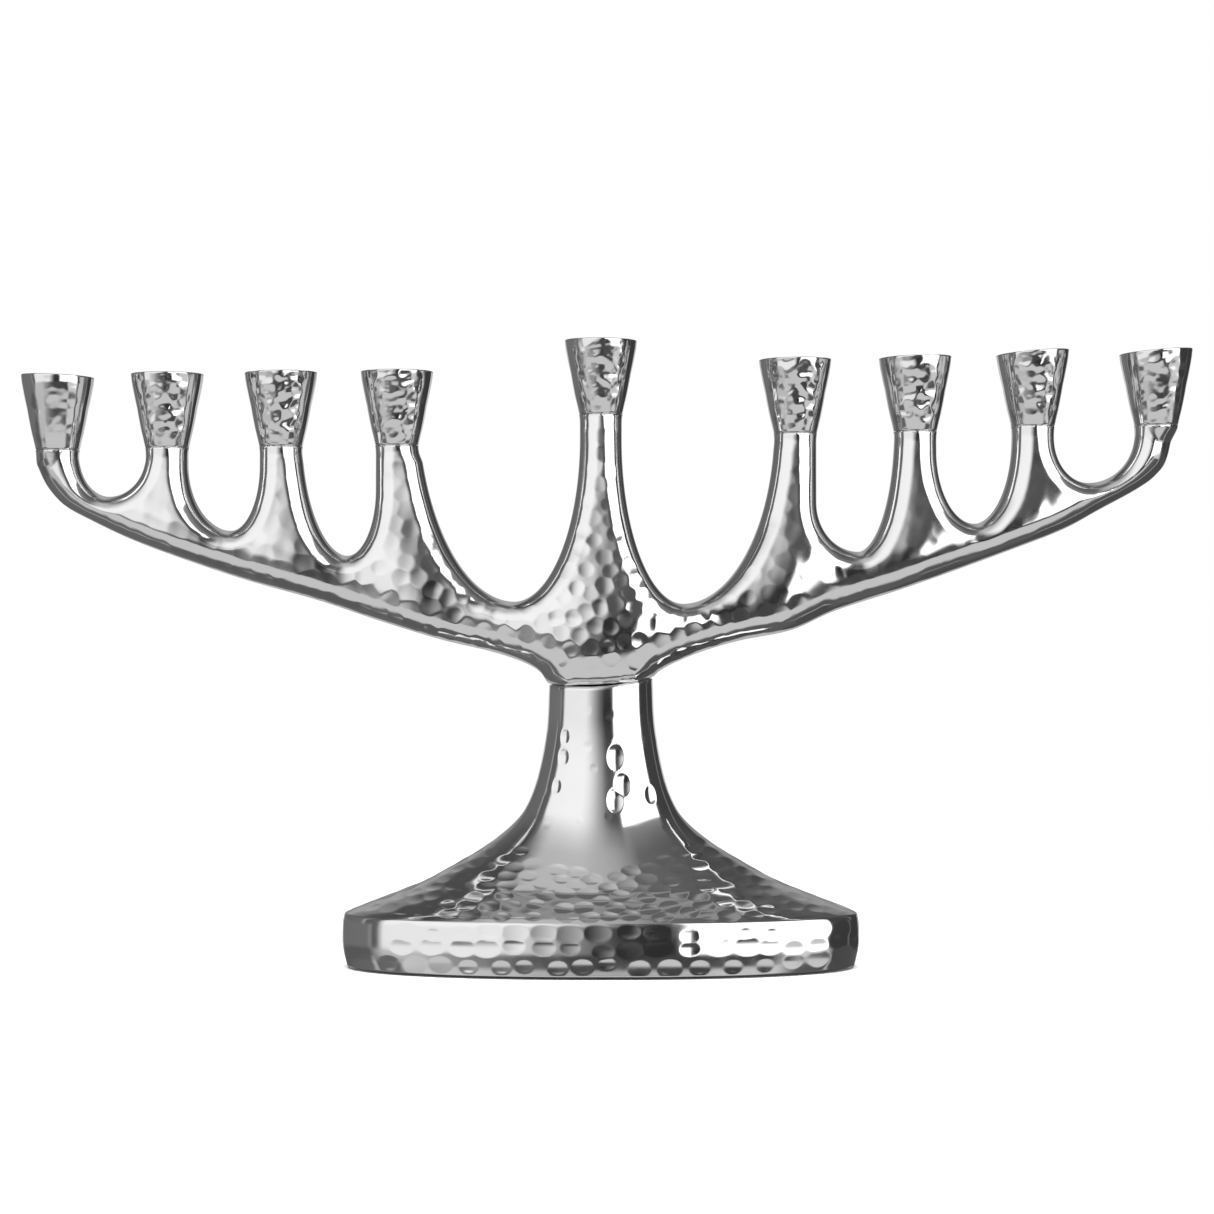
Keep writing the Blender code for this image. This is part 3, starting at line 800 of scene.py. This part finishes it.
def pressed_felt():
    """Near-black felt with a fine fibre grain."""
    material, tree, shader = new_material("dark_felt")
    noise = tree.nodes.new("ShaderNodeTexNoise")
    noise.inputs["Scale"].default_value = 1500
    noise.inputs["Detail"].default_value = 6
    ramp = tree.nodes.new("ShaderNodeMix")
    ramp.data_type = "RGBA"
    ramp.inputs["A"].default_value = (0.015, 0.015, 0.017, 1)
    ramp.inputs["B"].default_value = (0.07, 0.07, 0.075, 1)
    tree.links.new(noise.outputs["Fac"], ramp.inputs["Factor"])
    tree.links.new(ramp.outputs["Result"], shader.inputs["Base Color"])
    bump = tree.nodes.new("ShaderNodeBump")
    bump.inputs["Strength"].default_value = 0.6
    bump.inputs["Distance"].default_value = 0.0004
    tree.links.new(noise.outputs["Fac"], bump.inputs["Height"])
    tree.links.new(bump.outputs["Normal"], shader.inputs["Normal"])
    shader.inputs["Roughness"].default_value = 0.95
    shader.inputs["Sheen Weight"].default_value = 0.5
    return material


def pale_floor():
    """A pale floor that fades into the background away from the object."""
    material, tree, shader = new_material("pale_floor")
    shader.inputs["Base Color"].default_value = (0.93, 0.93, 0.93, 1)
    shader.inputs["Roughness"].default_value = 0.7
    place = tree.nodes.new("ShaderNodeTexCoord")
    length = tree.nodes.new("ShaderNodeVectorMath")
    length.operation = "LENGTH"
    tree.links.new(place.outputs["Object"], length.inputs[0])
    fade = tree.nodes.new("ShaderNodeMapRange")
    fade.interpolation_type = "SMOOTHSTEP"
    fade.inputs["From Min"].default_value = 0.16
    fade.inputs["From Max"].default_value = 0.6
    fade.inputs["To Min"].default_value = 1.0
    fade.inputs["To Max"].default_value = 0.0
    tree.links.new(length.outputs["Value"], fade.inputs["Value"])
    tree.links.new(fade.outputs["Result"], shader.inputs["Alpha"])
    return material


# --- studio ---------------------------------------------------------------------------------------

# Brightness of the surroundings against azimuth in degrees, 0 in front of the object and positive to
# its right: a little above eye level, at eye level, overhead, on the table and at its far edge.
LEVEL = [
    (-180, 0.2), (-152, 0.2), (-146, 0.13), (-94, 0.14), (-91, 0.36), (-90, 0.36), (-87, 0.1), (-73, 0.12),
    (-67, 0.92), (-16, 0.96), (-10, 0.84), (-5, 0.64), (-1, 0.42), (3, 0.16), (6, 0.09), (13, 0.08),
    (16, 0.3), (70, 0.3), (78, 0.05), (115, 0.05), (118, 0.25), (121, 0.05), (150, 0.05), (156, 0.2),
    (180, 0.2),
]
LOW = [
    (-180, 0.6), (-156, 0.6), (-150, 0.15), (-84, 0.16), (-81, 0.24), (-80, 0.24), (-77, 0.1), (-73, 0.12),
    (-67, 0.84), (-20, 0.86), (-14, 0.66), (-9, 0.45), (-4, 0.26), (0, 0.11), (3, 0.03), (13, 0.025),
    (16, 0.2), (70, 0.2), (80, 0.04), (106, 0.04), (109, 0.16), (112, 0.04), (146, 0.04), (154, 0.6),
    (180, 0.6),
]
OVERHEAD = [
    (-180, 0.42), (-158, 0.34), (-144, 0.07), (-84, 0.06), (-66, 0.2), (-44, 0.48), (-10, 0.5), (6, 0.38),
    (22, 0.13), (120, 0.07), (150, 0.12), (162, 0.3), (180, 0.42),
]
TABLE = [
    (-180, 0.5), (-160, 0.5), (-150, 0.12), (-84, 0.13), (-80, 0.5), (-76, 0.13), (-60, 0.13), (-50, 0.57),
    (45, 0.57), (55, 0.1), (78, 0.08), (81, 0.55), (84, 0.07), (150, 0.07), (160, 0.5), (180, 0.5),
]
WINDOW = (15.5, 75.0, -12.0, 35.0)  # its left and right azimuths, then its lowest and highest elevations
ZENITH = 0.12  # brightness straight above
BELOW = 0.1  # and straight below
HORIZON = [
    (-180, 0.1), (-82, 0.1), (-68, 0.5), (-44, 0.5), (-34, 0.3), (-18, 0.14), (-4, 0.06), (42, 0.05),
    (50, 0.6), (74, 0.6), (84, 0.06), (180, 0.1),
]
HIGH_LINE = (74.5, 78.5, 0.3)  # a lighter ring round the zenith: two elevations and its brightness
BEHIND = (152, 164)  # the overhead light comes lower between these azimuths and the back
FULL = 1.5  # the brightest value a ring can hold, and the window's


class Studio:
    """Builds the world's nodes."""

    def __init__(self):
        world = bpy.data.worlds.new("studio")
        world.use_nodes = True
        bpy.context.scene.world = world
        self.nodes = world.node_tree.nodes
        self.links = world.node_tree.links
        self.background = self.nodes["Background"]

    def math(self, operation, a, b=None):
        """A Math node on sockets or numbers."""
        node = self.nodes.new("ShaderNodeMath")
        node.operation = operation
        for socket, value in zip(node.inputs, (a, b)):
            if isinstance(value, (int, float)):
                socket.default_value = value
            elif value is not None:
                self.links.new(value, socket)
        return node.outputs[0]

    def step(self, value, low, high):
        """0 below low, 1 above high, and smooth between them."""
        node = self.nodes.new("ShaderNodeMapRange")
        node.interpolation_type = "SMOOTHSTEP"
        node.inputs["From Min"].default_value = low
        node.inputs["From Max"].default_value = high
        self.links.new(value, node.inputs["Value"])
        return node.outputs["Result"]

    def band(self, value, low, high, soft):
        """1 between low and high, and 0 outside them."""
        inside = self.math("MINIMUM", self.math("SUBTRACT", value, low), self.math("SUBTRACT", high, value))
        return self.step(inside, -soft, soft)

    def mix(self, factor, a, b):
        """a where factor is 0, and b where it is 1."""
        node = self.nodes.new("ShaderNodeMix")
        self.links.new(factor, node.inputs["Factor"])
        for socket, value in zip(node.inputs[2:4], (a, b)):
            if isinstance(value, (int, float)):
                socket.default_value = value
            else:
                self.links.new(value, socket)
        return node.outputs["Result"]

    def ring(self, azimuth, stops):
        """Brightness all round from (azimuth, brightness) stops."""
        place = self.nodes.new("ShaderNodeMapRange")
        place.inputs["From Min"].default_value = -180
        place.inputs["From Max"].default_value = 180
        self.links.new(azimuth, place.inputs["Value"])
        ramp = self.nodes.new("ShaderNodeValToRGB")
        self.links.new(place.outputs["Result"], ramp.inputs["Fac"])
        elements = ramp.color_ramp.elements
        while len(elements) < len(stops):
            elements.new(1.0)
        for element, (angle, _) in zip(elements, stops):
            element.position = (angle + 180) / 360
        for element, (_, brightness) in zip(elements, stops):
            share = brightness / FULL
            element.color = (share, share, share, 1)
        split = self.nodes.new("ShaderNodeSeparateColor")
        self.links.new(ramp.outputs["Color"], split.inputs[0])
        return self.math("MULTIPLY", split.outputs[0], FULL)

    def build(self):
        """Lights the world by direction. The camera itself sees plain white."""
        coord = self.nodes.new("ShaderNodeTexCoord")
        split = self.nodes.new("ShaderNodeSeparateXYZ")
        self.links.new(coord.outputs["Generated"], split.inputs[0])
        x, y, z = split.outputs
        azimuth = self.math("DEGREES", self.math("ARCTAN2", x, self.math("MULTIPLY", y, -1)))
        elevation = self.math("DEGREES", self.math("ARCSINE", z))
        level = self.mix(self.step(elevation, 0, 7), self.ring(azimuth, LOW), self.ring(azimuth, LEVEL))
        behind = self.step(self.math("ABSOLUTE", azimuth), *BEHIND)
        raised = self.math("MULTIPLY", behind, self.step(elevation, 6, 18))
        raised = self.math("MAXIMUM", raised, self.step(elevation, 24, 58))
        upper = self.mix(raised, level, self.ring(azimuth, OVERHEAD))
        upper = self.mix(self.step(elevation, 69, 76), upper, ZENITH)
        low, high, brightness = HIGH_LINE
        upper = self.mix(self.band(elevation, low, high, 2), upper, brightness)
        left, right, bottom, top = WINDOW
        across = self.band(azimuth, left, right, 1)
        upright = self.band(elevation, bottom, top, 1.5)
        upper = self.mix(self.math("MULTIPLY", across, upright), upper, FULL)
        lower = self.mix(self.step(elevation, -64, -56), BELOW, self.ring(azimuth, TABLE))
        lower = self.mix(self.step(elevation, -20, -16.5), lower, self.ring(azimuth, HORIZON))
        total = self.mix(self.step(elevation, -12, -7.5), lower, upper)
        path = self.nodes.new("ShaderNodeLightPath")
        seen = self.mix(path.outputs["Is Camera Ray"], total, 1.0)
        self.links.new(seen, self.background.inputs["Strength"])
        self.background.inputs["Color"].default_value = (1, 1, 1, 1)


def add_floor():
    """The table, which the metal doesn't reflect: the world's own table ring does that."""
    mesh = bpy.data.meshes.new("floor")
    corners = [(-3, -3, 0), (3, -3, 0), (3, 3, 0), (-3, 3, 0)]
    mesh.from_pydata(corners, [], [(0, 1, 2, 3)])
    mesh.materials.append(pale_floor())
    floor = bpy.data.objects.new("floor", mesh)
    bpy.context.scene.collection.objects.link(floor)
    floor.visible_glossy = False


def add_light():
    """A soft light overhead, for the shadow round the foot."""
    light = bpy.data.lights.new("soft_top", "AREA")
    light.size = 1.6
    light.energy = 60
    lamp = bpy.data.objects.new("soft_top", light)
    lamp.location = (0, -0.2, 1.4)
    lamp.visible_glossy = False
    bpy.context.scene.collection.objects.link(lamp)


def add_camera():
    """A long lens in front of the object, level and a little above its middle."""
    camera = bpy.data.cameras.new("camera")
    camera.lens = 85
    camera.sensor_width = 36
    camera.clip_start = 0.01
    obj = bpy.data.objects.new("camera", camera)
    obj.location = (0.002, -0.932, 0.1168)
    obj.rotation_euler = (math.radians(90), 0, 0)
    bpy.context.scene.collection.objects.link(obj)
    bpy.context.scene.camera = obj


# --- the scene ------------------------------------------------------------------------------------

rng = np.random.default_rng(5)
metal = polished_metal()
branch_casting(metal, rng)
for cup_name, mouth_slope, dents in zip(STEM_CUPS, MOUTH_SLOPES, CUP_DENT_DEPTHS):
    candle_cup(cup_name, mouth_slope, dents, metal, rng)
pedestal_casting(metal, rng)
felt_underlay(pressed_felt())
steel = plated_steel()
for node in ("pedestal_bolt", "flat_washer", "spring_washer"):
    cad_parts[node].material_slots[0].material = steel
add_floor()
add_light()
add_camera()
Studio().build()
bpy.context.scene.view_settings.view_transform = "Standard"
